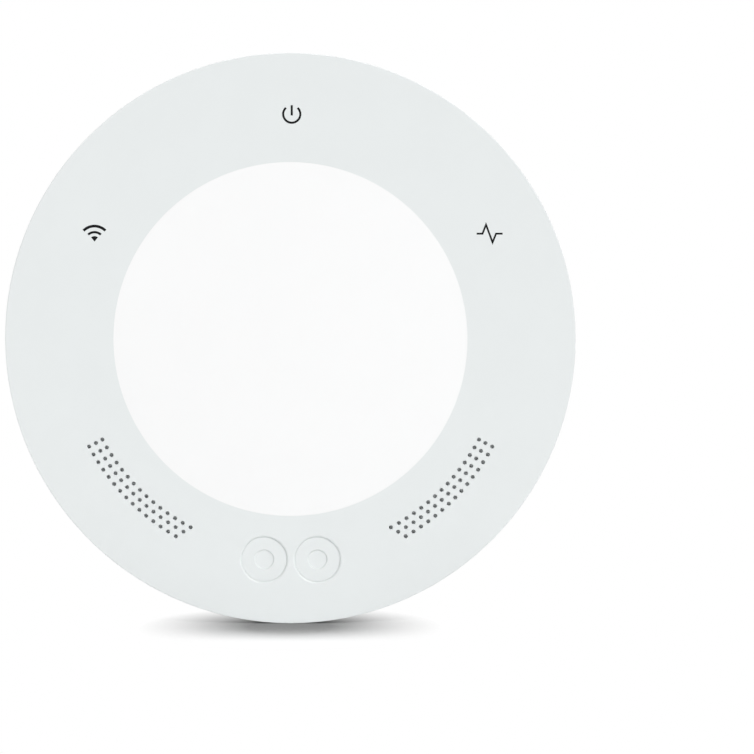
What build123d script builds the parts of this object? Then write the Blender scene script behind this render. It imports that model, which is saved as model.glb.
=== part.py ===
from build123d import *
from math import cos, degrees, radians, sin
import os

# Round wall-mounted gate controller: a pale flat ring round a domed white disc, with three printed
# symbols, two perforated sound grilles and two push buttons, on a back housing that twists onto a
# wall plate. The board inside drives the gate through three relays and screw terminals.
#
# Frame, in millimetres: +X to the right and +Z up as the controller hangs on its wall, which is the
# plane y = 0. The front looks along -Y. Every height below is measured from the wall towards the
# front, so the height h is the plane Plane.XZ.offset(h), whose own y runs up the wall.

os.makedirs("parts", exist_ok=True)

# Driving sizes of the outside
outer_radius = 62.5
ring_height = 24.6
disc_radius = 38.6
disc_gap = 0.1
disc_edge_height = 24.4
disc_crown_height = 26.0
seam_height = 15.0
seam_gap = 0.4
back_height = 1.2
rim_round = 1.0

# Places on the ring: symbols, grilles and buttons
symbol_radius = 49.2
symbol_angles = {"power": 90.0, "radio": 151.7, "activity": 28.3}
grille_row_radii = (46.8, 48.4, 50.1)
grille_first_angle = 208.0
grille_pitch = 1.98
grille_holes_in_row = 15
grille_hole_radius = 0.43
grille_hole_sides = 6
speaker_radius = 48.6
speaker_angle = 224.4
sides = {"left": speaker_angle, "right": 540.0 - speaker_angle}
button_places = {"left": (-5.86, -48.4), "right": (5.86, -48.4)}
button_hole_radius = 4.9
button_rim_chamfer = 0.4
button_radius = 4.8
button_sunk = 0.4
button_travel = 0.3

# Heights of the layers, from the wall to the front
plate_thickness = 3.2
floor_back = 3.4
floor_wall = 1.8
floor_front = floor_back + floor_wall
board_back = 12.8
board_thickness = 1.6
board_front = board_back + board_thickness
shell_wall = 2.0
ring_back = ring_height - shell_wall
seat_wall = 1.8
seat_front = 22.7
seat_back = seat_front - seat_wall

# Radii of the back housing, the wall plate and the board
plate_radius = 45.5
recess_radius = 46.0
back_corner_radius = 58.4
housing_radius = 62.1
tongue_outer_radius = 60.2
tongue_inner_radius = 58.6
tongue_top = 17.5
skirt_inner_radius = 60.4
board_radius = 57.5

# Screws that close the case, and the posts that the board lies on
boss_circle = 51.2
boss_angles = (55.0, 125.0, 250.0, 290.0)
boss_places = [(boss_circle * cos(radians(a)), boss_circle * sin(radians(a))) for a in boss_angles]
boss_outer_radius = 3.0
boss_end = board_back - 0.6
case_screw_radius = 1.25
board_post_circle = 53.5
board_post_angles = (72.0, 108.0, 190.0, 231.0, 309.0, 350.0)
board_post_size = (5.0, 3.0)

# Bayonet between the wall plate and the back housing
hook_circle = 41.0
hook_angles = (90.0, 205.0, 345.0)
hook_half_angle = 5.5
hook_stem_radii = (hook_circle - 1.0, hook_circle + 1.0)
hook_head_radii = (hook_circle - 2.6, hook_circle + 2.6)
hook_head_back = 5.5
hook_head_front = 7.0
twist_angle = 14.0
slot_clearance = 0.4
slot_end_angle = 0.8

# Wiring bay, the trough that leads the wires out, the power inlet and the reset hole
bay_half_width = 20.5
bay_top = -14.0
bay_bottom = -36.0
bay_middle = (bay_top + bay_bottom) / 2
bay_wall = 1.4
bay_wall_end = board_back - 0.3
bay_corner = 1.5
trough_half_width = 8.0
trough_front = 5.4
terminal_pitch = 3.5
inlet_height = 11.5
inlet_shell = (7.5, 2.6)
reset_place = (25.5, -44.2)

# Plane in which the round pieces are drawn: its x is the radius and its y the height
profile_plane = Plane(origin=(0, 0, 0), x_dir=(1, 0, 0), z_dir=(0, 0, -1))


def on_circle(radius, angle):
    """The point at a radius and an angle in degrees, in the axes of its sketch."""
    return (radius * cos(radians(angle)), radius * sin(radians(angle)))


def ring_sector(inner, outer, middle, half_angle):
    """A piece of a flat ring, as wide as half_angle degrees on each side of its middle."""
    with BuildSketch() as sector:
        with BuildLine():
            far = CenterArc((0, 0), outer, middle - half_angle, 2 * half_angle)
            near = CenterArc((0, 0), inner, middle - half_angle, 2 * half_angle)
            Line(far @ 0, near @ 0)
            Line(far @ 1, near @ 1)
        make_face()
    return sector.sketch


def speaker_outline(size, angle, margin=0.0, mode=Mode.ADD):
    """An outline with cut corners at a speaker's place, along the ring, widened by a margin."""
    with BuildSketch(mode=Mode.PRIVATE) as outline:
        Rectangle(size[0] + 2 * margin, size[1] + 2 * margin)
        chamfer(outline.vertices(), speaker_corner)
    with PolarLocations(speaker_radius, 1, angle):
        add(outline.sketch, mode=mode)


def dome_height(radius, crown):
    """Height of the dome at a radius, below a crown on the axis."""
    return crown - dome_rise * (radius / disc_radius) ** 2


# Wall plate: a flat disc with a window for the wires, two screw slots and three bayonet hooks
screw_spacing = 60.0
screw_slot = (8.0, 4.2)
screw_pocket = (13.5, 9.5)
screw_pocket_depth = 1.8
window_margin = 0.6
window_corner = 2.5
plate_edge = 0.5
index_notch_radius = 1.5

with BuildPart() as wall_plate:
    with BuildSketch(Plane.XZ):
        Circle(plate_radius)
        with Locations((0, bay_middle)):
            RectangleRounded(
                2 * (bay_half_width + window_margin),
                bay_top - bay_bottom + 2 * window_margin,
                window_corner,
                mode=Mode.SUBTRACT,
            )
        with Locations((0, -plate_radius)):
            Rectangle(2 * trough_half_width, 2 * (plate_radius + bay_bottom), mode=Mode.SUBTRACT)
        with Locations((0, plate_radius)):
            Circle(index_notch_radius, mode=Mode.SUBTRACT)
        with GridLocations(screw_spacing, 0, 2, 1):
            SlotOverall(*screw_slot, mode=Mode.SUBTRACT)
    extrude(amount=plate_thickness)
    with BuildSketch(Plane.XZ.offset(plate_thickness)):
        with GridLocations(screw_spacing, 0, 2, 1):
            SlotOverall(*screw_pocket)
    extrude(amount=-screw_pocket_depth, mode=Mode.SUBTRACT)
    rims = wall_plate.edges().filter_by(GeomType.CIRCLE)
    chamfer(rims.filter_by(lambda edge: abs(edge.radius - plate_radius) < 0.01), plate_edge)
    with BuildSketch(Plane.XZ.offset(plate_thickness)):
        for angle in hook_angles:
            add(ring_sector(*hook_stem_radii, angle, hook_half_angle))
    extrude(amount=hook_head_back - plate_thickness)
    with BuildSketch(Plane.XZ.offset(hook_head_back)):
        for angle in hook_angles:
            add(ring_sector(*hook_head_radii, angle, hook_half_angle))
    extrude(amount=hook_head_front - hook_head_back)
wall_plate.part.label = "wall_plate"
export_step(wall_plate.part, "parts/wall_plate.step")


# Back housing: a tapered cup with a recess for the wall plate, a wiring bay, vents and columns
housing_wall = 1.8
annulus_front = back_height + housing_wall
flank_slope = (housing_radius - back_corner_radius) / (seam_height - back_height)
inner_corner_radius = back_corner_radius + (flank_slope - 1) * housing_wall
flank_end = annulus_front + (tongue_inner_radius - inner_corner_radius) / flank_slope
back_corner = (2.2, 1.4)
housing_rim_chamfer = 0.3
counterbore_radius = 3.2
counterbore_front = 5.4
column_foot_half = 4.4
column_foot_front = 7.4
foot_back = back_height + 1.0
screw_clearance_radius = 1.7
trough_wall_end = -57.3
trough_roof_end = -58.4
vent_circle = housing_radius - 2.0
vent_width = 1.6
vent_depth = 8.0
vent_step = 4.5
vent_back = 5.0
vent_front = 11.2
vent_groups = ((90.0, 13), (222.0, 7), (318.0, 7))
inlet_pocket = (12.0, 6.4)
inlet_pocket_corner = 1.5
inlet_mouth = (8.4, 3.4)
inlet_pocket_depth = 3.8
inlet_wall_size = (15.0, 9.4)
inlet_wall_thickness = 0.9
reset_hole_radius = 0.9
rib_front = floor_front + 1.8
rib_middle = 22.0
rib_count = 4
rib_first_angle = 21.0
rib_span = 138.0
rib_size = (28.0, 1.2)

with BuildPart() as rear_housing:
    with BuildSketch(profile_plane):
        with BuildLine():
            Polyline(
                (0, floor_back),
                (recess_radius, floor_back),
                (recess_radius, back_height),
                (back_corner_radius - back_corner[0], back_height),
                (back_corner_radius - back_corner[0] / 4, back_height + back_corner[1] / 3),
                (back_corner_radius + flank_slope * back_corner[1], back_height + back_corner[1]),
                (housing_radius, seam_height),
                (tongue_outer_radius, seam_height),
                (tongue_outer_radius, tongue_top),
                (tongue_inner_radius, tongue_top),
                (tongue_inner_radius, flank_end),
                (inner_corner_radius, annulus_front),
                (recess_radius + housing_wall, annulus_front),
                (recess_radius + housing_wall, floor_front),
                (0, floor_front),
                close=True,
            )
        make_face()
    revolve(axis=Axis.Y)
    rims = rear_housing.edges().filter_by(GeomType.CIRCLE)
    chamfer(rims.filter_by(lambda edge: abs(edge.radius - housing_radius) < 0.01), housing_rim_chamfer)

    # Columns for the case screws, and posts for the board
    with BuildSketch(Plane.XZ.offset(foot_back)):
        for angle in boss_angles:
            with PolarLocations(boss_circle, 1, angle):
                Rectangle(2 * column_foot_half, 2 * column_foot_half)
    extrude(amount=column_foot_front - foot_back)
    with BuildSketch(Plane.XZ.offset(counterbore_front)):
        for angle in boss_angles:
            with PolarLocations(boss_circle, 1, angle):
                Rectangle(2 * boss_outer_radius, 2 * boss_outer_radius)
    extrude(amount=boss_end - counterbore_front)
    with BuildSketch(Plane.XZ.offset(foot_back)):
        for angle in board_post_angles:
            with PolarLocations(board_post_circle, 1, angle):
                Rectangle(*board_post_size)
    extrude(amount=board_back - foot_back)
    with BuildSketch(Plane.XZ):
        with Locations(*boss_places):
            Circle(counterbore_radius)
    extrude(amount=counterbore_front, mode=Mode.SUBTRACT)
    with BuildSketch(Plane.XZ):
        with Locations(*boss_places):
            Circle(screw_clearance_radius)
    extrude(amount=board_back, mode=Mode.SUBTRACT)

    # Walls round the wiring bay, and the trough that runs from it to the lower edge
    with BuildSketch(Plane.XZ.offset(floor_back)):
        with Locations((0, bay_middle)):
            Rectangle(2 * (bay_half_width + bay_wall), bay_top - bay_bottom + 2 * bay_wall)
    extrude(amount=bay_wall_end - floor_back)
    with BuildSketch(Plane.XZ.offset(floor_back)):
        with Locations((0, (bay_bottom - recess_radius) / 2)):
            Rectangle(2 * (trough_half_width + bay_wall), recess_radius + bay_bottom)
    extrude(amount=trough_front + bay_wall - floor_back)
    with BuildSketch(Plane.XZ.offset(annulus_front)):
        with Locations((0, (trough_wall_end - recess_radius) / 2)):
            Rectangle(2 * (trough_half_width + bay_wall), -trough_wall_end - recess_radius)
    extrude(amount=trough_front + bay_wall - annulus_front)
    with BuildSketch(Plane.XZ.offset(trough_front)):
        with Locations((0, (trough_roof_end - recess_radius) / 2)):
            Rectangle(2 * (trough_half_width + bay_wall), -trough_roof_end - recess_radius)
    extrude(amount=bay_wall)
    with BuildSketch(Plane.XZ):
        with Locations((0, bay_middle)):
            RectangleRounded(2 * bay_half_width, bay_top - bay_bottom, bay_corner)
    extrude(amount=board_back, mode=Mode.SUBTRACT)
    with BuildSketch(Plane.XZ):
        with Locations((0, (bay_bottom - outer_radius) / 2)):
            Rectangle(2 * trough_half_width, outer_radius + bay_bottom)
    extrude(amount=trough_front, mode=Mode.SUBTRACT)

    # Arc slots: the bayonet hooks enter at the wide end and lock at the narrow end
    slot_half_angle = hook_half_angle + slot_end_angle
    with BuildSketch(Plane.XZ.offset(floor_back)):
        for angle in hook_angles:
            add(
                ring_sector(
                    hook_stem_radii[0] - slot_clearance,
                    hook_stem_radii[1] + slot_clearance,
                    angle - twist_angle / 2,
                    twist_angle / 2 + slot_half_angle,
                )
            )
            add(
                ring_sector(
                    hook_head_radii[0] - slot_clearance,
                    hook_head_radii[1] + slot_clearance,
                    angle - twist_angle,
                    slot_half_angle,
                )
            )
    extrude(amount=floor_wall, mode=Mode.SUBTRACT)

    # Vents through the flank, above and low on both sides
    with BuildSketch(Plane.XZ.offset(vent_back)):
        for middle, count in vent_groups:
            span = vent_step * (count - 1)
            with PolarLocations(vent_circle, count, middle - span / 2, span, endpoint=True):
                Rectangle(vent_depth, vent_width)
    extrude(amount=vent_front - vent_back, mode=Mode.SUBTRACT)

    # Power inlet in a recess of the lower flank, and the pinhole to the reset switch
    with BuildSketch(Plane.XY.offset(inlet_pocket_depth - outer_radius)):
        with Locations((0, -inlet_height)):
            Rectangle(*inlet_wall_size)
    extrude(amount=inlet_wall_thickness)
    with BuildSketch(Plane.XY.offset(-outer_radius)):
        with Locations((0, -inlet_height)):
            RectangleRounded(*inlet_pocket, inlet_pocket_corner)
    extrude(amount=inlet_pocket_depth, mode=Mode.SUBTRACT)
    with BuildSketch(Plane.XY.offset(-outer_radius)):
        with Locations((0, -inlet_height)):
            Rectangle(*inlet_mouth)
    extrude(amount=outer_radius - board_radius, mode=Mode.SUBTRACT)
    with BuildSketch(Plane.XZ):
        with Locations(reset_place):
            Circle(reset_hole_radius)
    extrude(amount=floor_front, mode=Mode.SUBTRACT)

    # Ribs that stiffen the floor
    with BuildSketch(Plane.XZ.offset(floor_front)):
        with PolarLocations(rib_middle, rib_count, rib_first_angle, rib_span, endpoint=True):
            Rectangle(*rib_size)
    extrude(amount=rib_front - floor_front)
rear_housing.part.label = "rear_housing"
export_step(rear_housing.part, "parts/rear_housing.step")


# Front shell: the flat ring, its skirt and the seat of the disc
seat_radius = disc_radius + disc_gap
seat_outer_radius = seat_radius + seat_wall
skirt_end = seam_height + seam_gap
seat_chamfer = 0.1
rim_angles = (0.0, 30.0, 60.0, 90.0)
sleeve_radius = 6.0
sleeve_end = 18.6
lug_width = 3.0
lug_clearance = 0.2
lug_reach = 6.4
lug_slot_length = 14.0
grille_relief_front = ring_back + 0.8
grille_relief = (11.6, 30.8)
speaker_size = (15.0, 33.2)
speaker_corner = 2.4
speaker_wall = 1.2
speaker_wall_gap = 0.2
speaker_wall_end = 20.8
pipe_size = 5.6
pipe_wall = 0.8
pipe_pocket_front = 23.7
pipe_sleeve_end = 20.4
pilot_front = 20.6
gusset_end = 18.0
clamp_rib_length = 10.0
rib_thickness = 1.2
rib_overlap = 1.0
shell_rib_height = 1.6
shell_rib_angles = (12.0, 72.0, 108.0, 168.0, 194.0, 346.0)
disc_hook_count = 6
disc_hook_circle = 34.0
disc_hook_thickness = 1.2
disc_hook_half_angle = 3.4
disc_slot_gaps = (0.4, 0.3)
disc_slot_end_angle = 0.8

with BuildPart() as front_shell:
    rim_middle = (outer_radius - rim_round, ring_height - rim_round)
    rim_steps = [on_circle(rim_round, angle) for angle in rim_angles]
    with BuildSketch(profile_plane):
        with BuildLine():
            Polyline(
                (0, seat_back),
                (seat_outer_radius, seat_back),
                (seat_outer_radius, ring_back),
                (skirt_inner_radius, ring_back),
                (skirt_inner_radius, skirt_end),
                (outer_radius, skirt_end),
                *[(rim_middle[0] + across, rim_middle[1] + up) for across, up in rim_steps],
                (seat_radius + seat_chamfer, ring_height),
                (seat_radius, ring_height - seat_chamfer),
                (seat_radius, seat_front),
                (0, seat_front),
                close=True,
            )
        make_face()
    revolve(axis=Axis.Y)

    # Bosses for the case screws, with gussets to the skirt and ribs that clamp the board, and ribs
    # across the ring
    with BuildSketch(Plane.XZ.offset(ring_back)):
        for angle in boss_angles:
            with PolarLocations((boss_circle + skirt_inner_radius) / 2, 1, angle):
                Rectangle(skirt_inner_radius - boss_circle + rib_overlap, rib_thickness)
    extrude(amount=gusset_end - ring_back)
    with BuildSketch(Plane.XZ.offset(ring_back)):
        for angle in boss_angles:
            with PolarLocations(boss_circle, 1, angle):
                Rectangle(rib_thickness, clamp_rib_length)
    extrude(amount=board_front - ring_back)
    with BuildSketch(Plane.XZ.offset(ring_back)):
        for angle in shell_rib_angles:
            with PolarLocations((seat_outer_radius + skirt_inner_radius) / 2, 1, angle):
                Rectangle(skirt_inner_radius - seat_outer_radius + rib_overlap, rib_thickness)
    extrude(amount=-shell_rib_height)
    with BuildSketch(Plane.XZ.offset(ring_back)):
        with Locations(*boss_places):
            Circle(boss_outer_radius)
    extrude(amount=boss_end - ring_back)

    # Walls that locate the speakers, and sleeves round the light pipes and the buttons
    with BuildSketch(Plane.XZ.offset(ring_back)):
        for angle in sides.values():
            speaker_outline(speaker_size, angle, speaker_wall_gap + speaker_wall)
        for angle in sides.values():
            speaker_outline(speaker_size, angle, speaker_wall_gap, Mode.SUBTRACT)
    extrude(amount=speaker_wall_end - ring_back)
    with BuildSketch(Plane.XZ.offset(ring_back)):
        for angle in symbol_angles.values():
            with PolarLocations(symbol_radius, 1, angle):
                Rectangle(pipe_size + 2 * pipe_wall, pipe_size + 2 * pipe_wall)
    extrude(amount=pipe_sleeve_end - ring_back)
    with BuildSketch(Plane.XZ.offset(ring_back)):
        with Locations(*button_places.values()):
            Circle(sleeve_radius)
    extrude(amount=sleeve_end - ring_back)

    # Holes: screw pilots, light pipe pockets, buttons with their lug slots, and the disc's slots
    with BuildSketch(Plane.XZ.offset(boss_end)):
        with Locations(*boss_places):
            Circle(case_screw_radius)
    extrude(amount=pilot_front - boss_end, mode=Mode.SUBTRACT)
    with BuildSketch(Plane.XZ.offset(pipe_sleeve_end)):
        for angle in symbol_angles.values():
            with PolarLocations(symbol_radius, 1, angle):
                Rectangle(pipe_size, pipe_size)
    extrude(amount=pipe_pocket_front - pipe_sleeve_end, mode=Mode.SUBTRACT)
    with BuildSketch(Plane.XZ.offset(sleeve_end)):
        with Locations(*button_places.values()):
            Circle(button_hole_radius)
    extrude(amount=ring_height - sleeve_end, mode=Mode.SUBTRACT)
    front_rims = front_shell.edges().filter_by(GeomType.CIRCLE).group_by(Axis.Y)[0]
    button_rims = front_rims.filter_by(lambda edge: abs(edge.radius - button_hole_radius) < 0.01)
    chamfer(button_rims, button_rim_chamfer)
    with BuildSketch(Plane.XZ.offset(sleeve_end)):
        with Locations(*button_places.values()):
            Rectangle(lug_width + 2 * lug_clearance, lug_slot_length)
    extrude(amount=ring_back - sleeve_end, mode=Mode.SUBTRACT)
    with BuildSketch(Plane.XZ.offset(seat_back)):
        for index in range(disc_hook_count):
            middle = 360.0 / disc_hook_count * (index + 0.5)
            add(
                ring_sector(
                    disc_hook_circle - disc_hook_thickness / 2 - disc_slot_gaps[0],
                    disc_hook_circle + disc_hook_thickness / 2 + disc_slot_gaps[1],
                    middle,
                    disc_hook_half_angle + disc_slot_end_angle,
                )
            )
    extrude(amount=seat_wall, mode=Mode.SUBTRACT)

    # Grilles: three rows of small holes each side, equally spaced along their arcs, in a thinned skin
    with BuildSketch(Plane.XZ.offset(ring_back)):
        for angle in sides.values():
            speaker_outline(grille_relief, angle)
    extrude(amount=grille_relief_front - ring_back, mode=Mode.SUBTRACT)
    with BuildSketch(Plane.XZ.offset(grille_relief_front)):
        for radius in grille_row_radii:
            for index in range(grille_holes_in_row):
                angle = grille_first_angle + degrees(index * grille_pitch / radius)
                x, z = on_circle(radius, angle)
                with Locations((x, z), (-x, z)):
                    RegularPolygon(grille_hole_radius, grille_hole_sides)
    extrude(amount=ring_height - grille_relief_front, mode=Mode.SUBTRACT)
front_shell.part.label = "front_shell"
export_step(front_shell.part, "parts/front_shell.step")


# Centre disc: a domed cap with six hooks that snap through the seat
dome_rise = disc_crown_height - disc_edge_height
dome_radius = (disc_radius**2 + dome_rise**2) / (2 * dome_rise)
disc_wall = 1.6
disc_rim_width = 2.0
disc_edge_chamfer = 0.15
disc_hook_end = 19.9
disc_hook_front = 23.6
disc_barb = 0.8
disc_barb_thickness = 0.8

with BuildPart() as centre_disc:
    with BuildSketch(profile_plane):
        with BuildLine():
            rim_inner = disc_radius - disc_rim_width
            under_crown = disc_crown_height - disc_wall
            Polyline(
                (0, disc_crown_height),
                (disc_radius - disc_edge_chamfer, disc_crown_height),
                (disc_radius - disc_edge_chamfer, disc_edge_height),
                (disc_radius, disc_edge_height - disc_edge_chamfer),
                (disc_radius, seat_front),
                (rim_inner, seat_front),
                (rim_inner, dome_height(rim_inner, under_crown)),
                (rim_inner / 2, dome_height(rim_inner / 2, under_crown)),
                (0, under_crown),
                close=True,
            )
        make_face()
    revolve(axis=Axis.Y)
    with Locations((0, dome_radius - disc_crown_height, 0)):
        Sphere(dome_radius, mode=Mode.INTERSECT)
    for index in range(disc_hook_count):
        middle = 360.0 / disc_hook_count * (index + 0.5)
        hook_outer = disc_hook_circle + disc_hook_thickness / 2
        with BuildSketch(Plane.XZ.offset(disc_hook_end)):
            add(ring_sector(hook_outer - disc_hook_thickness, hook_outer, middle, disc_hook_half_angle))
        extrude(amount=disc_hook_front - disc_hook_end)
        with BuildSketch(Plane.XZ.offset(disc_hook_end)):
            add(ring_sector(hook_outer, hook_outer + disc_barb, middle, disc_hook_half_angle))
        extrude(amount=disc_barb_thickness)
centre_disc.part.label = "centre_disc"
export_step(centre_disc.part, "parts/centre_disc.step")


# Push buttons: hollow caps with a dimple, two lugs that hold them in the shell, and a post
button_front = ring_height - button_sunk
button_end = 20.6
button_wall = 1.2
button_dimple_radius = 2.1
button_dimple_depth = 0.3
button_lug_front = ring_back - 0.05
button_chamfer = 0.2
button_post_size = 2.2
stem_radius = 1.75
stem_front = 18.9
stem_end = 16.8

for side, place in button_places.items():
    with BuildPart() as button:
        with BuildSketch(Plane.XZ.offset(button_end)):
            with Locations(place):
                Circle(button_radius)
        extrude(amount=button_front - button_end)
        chamfer(button.edges().filter_by(GeomType.CIRCLE).group_by(Axis.Y)[0], button_chamfer)
        with BuildSketch(Plane.XZ.offset(button_end)):
            with Locations(place):
                Circle(button_radius - button_wall)
        extrude(amount=button_front - button_wall - button_end, mode=Mode.SUBTRACT)
        with BuildSketch(Plane.XZ.offset(button_front)):
            with Locations(place):
                Circle(button_dimple_radius)
        extrude(amount=-button_dimple_depth, mode=Mode.SUBTRACT)
        with BuildSketch(Plane.XZ.offset(button_lug_front)):
            with Locations(place):
                Rectangle(lug_width, 2 * lug_reach)
                Circle(button_radius - button_wall / 2, mode=Mode.SUBTRACT)
        extrude(amount=-button_wall)
        with BuildSketch(Plane.XZ.offset(stem_front)):
            with Locations(place):
                Rectangle(button_post_size, button_post_size)
        extrude(amount=button_front - button_wall - stem_front)
    button.part.label = f"button_{side}"
    export_step(button.part, f"parts/button_{side}.step")

    with BuildPart() as switch_stem:
        with BuildSketch(Plane.XZ.offset(stem_end)):
            with Locations(place):
                Circle(stem_radius)
        extrude(amount=stem_front - stem_end)
    switch_stem.part.label = f"switch_stem_{side}"
    export_step(switch_stem.part, f"parts/switch_stem_{side}.step")


# Push switches under the buttons, with a bore that each stem sinks into
switch_size = 6.0
switch_front = 17.9
switch_chamfer = 0.25
stem_clearance = 0.1
stem_overtravel = 0.2
stem_bore_end = stem_end - button_travel - stem_overtravel

with BuildPart() as button_switches:
    with BuildSketch(Plane.XZ.offset(board_front)):
        with Locations(*button_places.values()):
            Rectangle(switch_size, switch_size)
    extrude(amount=switch_front - board_front)
    chamfer(button_switches.edges().group_by(Axis.Y)[0], switch_chamfer)
    with BuildSketch(Plane.XZ.offset(switch_front)):
        with Locations(*button_places.values()):
            Circle(stem_radius + stem_clearance)
    extrude(amount=stem_bore_end - switch_front, mode=Mode.SUBTRACT)
button_switches.part.label = "button_switches"
export_step(button_switches.part, "parts/button_switches.step")


# Reset switch on the back of the board, and the stem that a pin pushes
reset_size = (5.2, 4.4)
reset_switch_end = 10.8
reset_stem_size = (2.2, 1.4)
reset_stem_end = 9.6
reset_stem_front = 11.6
reset_bore_front = reset_stem_front + button_travel + stem_overtravel

with BuildPart() as reset_switch:
    with BuildSketch(Plane.XZ.offset(board_back)):
        with Locations(reset_place):
            Rectangle(*reset_size)
    extrude(amount=reset_switch_end - board_back)
    with BuildSketch(Plane.XZ.offset(reset_switch_end)):
        with Locations(reset_place):
            Rectangle(reset_stem_size[0] + 2 * stem_clearance, reset_stem_size[1] + 2 * stem_clearance)
    extrude(amount=reset_bore_front - reset_switch_end, mode=Mode.SUBTRACT)
reset_switch.part.label = "reset_switch"
export_step(reset_switch.part, "parts/reset_switch.step")

with BuildPart() as reset_stem:
    with BuildSketch(Plane.XZ.offset(reset_stem_end)):
        with Locations(reset_place):
            Rectangle(*reset_stem_size)
    extrude(amount=reset_stem_front - reset_stem_end)
reset_stem.part.label = "reset_stem"
export_step(reset_stem.part, "parts/reset_stem.step")


# Main board: a round plate that lies on the posts, with a clearance hole for each boss
boss_hole_radius = boss_outer_radius + 0.4

with BuildPart() as main_board:
    with BuildSketch(Plane.XZ.offset(board_back)):
        Circle(board_radius)
        with Locations(*boss_places):
            Circle(boss_hole_radius, mode=Mode.SUBTRACT)
    extrude(amount=board_thickness)
main_board.part.label = "main_board"
export_step(main_board.part, "parts/main_board.step")


# Screws that close the case from the back
case_head_radius = 2.8
case_head_height = 2.1
case_screw_length = 12.0
drive_length = 3.0
drive_width = 0.8
drive_depth = 1.1

with BuildPart() as housing_screws:
    with BuildSketch(Plane.XZ.offset(counterbore_front)):
        with Locations(*boss_places):
            Circle(case_head_radius)
    extrude(amount=-case_head_height)
    with BuildSketch(Plane.XZ.offset(counterbore_front)):
        with Locations(*boss_places):
            Circle(case_screw_radius)
    extrude(amount=case_screw_length)
    with BuildSketch(Plane.XZ.offset(counterbore_front - case_head_height)):
        with Locations(*boss_places):
            Rectangle(drive_length, drive_width)
            Rectangle(drive_width, drive_length)
    extrude(amount=drive_depth, mode=Mode.SUBTRACT)
housing_screws.part.label = "housing_screws"
export_step(housing_screws.part, "parts/housing_screws.step")


# Light pipes behind the three symbols, each with a wide head in its pocket, and the diodes below
pipe_head_end = 21.2
pipe_post_size = 3.0
led_size = (2.0, 1.6)
led_height = 0.7
led_gap = 0.2

for name, angle in symbol_angles.items():
    with BuildPart() as light_pipe:
        with BuildSketch(Plane.XZ.offset(pipe_head_end)):
            with PolarLocations(symbol_radius, 1, angle):
                Rectangle(pipe_size, pipe_size)
        extrude(amount=pipe_pocket_front - pipe_head_end)
        with BuildSketch(Plane.XZ.offset(pipe_head_end)):
            with PolarLocations(symbol_radius, 1, angle):
                Rectangle(pipe_post_size, pipe_post_size)
        extrude(amount=board_front + led_height + led_gap - pipe_head_end)
    light_pipe.part.label = f"light_pipe_{name}"
    export_step(light_pipe.part, f"parts/light_pipe_{name}.step")

with BuildPart() as status_leds:
    with BuildSketch(Plane.XZ.offset(board_front)):
        for angle in symbol_angles.values():
            with Locations(on_circle(symbol_radius, angle)):
                Rectangle(*led_size)
    extrude(amount=led_height)
status_leds.part.label = "status_leds"
export_step(status_leds.part, "parts/status_leds.step")


# Speakers behind the grilles: cloth, gasket, frame, surround, cone with its coil, and magnet
cloth_size = (11.2, 30.4)
cloth_thickness = 0.2
gasket_opening = (11.0, 30.4)
gasket_end = 21.8
flange_thickness = 1.0
basket_size = (12.8, 31.0)
basket_end = 17.6
basket_floor = 18.8
cavity_size = (10.6, 28.8)
port_size = (5.0, 4.0)
port_spread = 17.0
cone_size = (8.4, 26.6)
cone_front = 21.2
cone_depth = 1.2
cone_wall = 0.35
cone_taper = 40.0
cone_gap = 0.15
coil_size = 6.6
coil_wall = 0.5
coil_end = 17.8
magnet_size = 8.4
magnet_front = 19.0
magnet_end = 16.6
magnet_gap = 0.25
magnet_gap_end = 17.4

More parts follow.
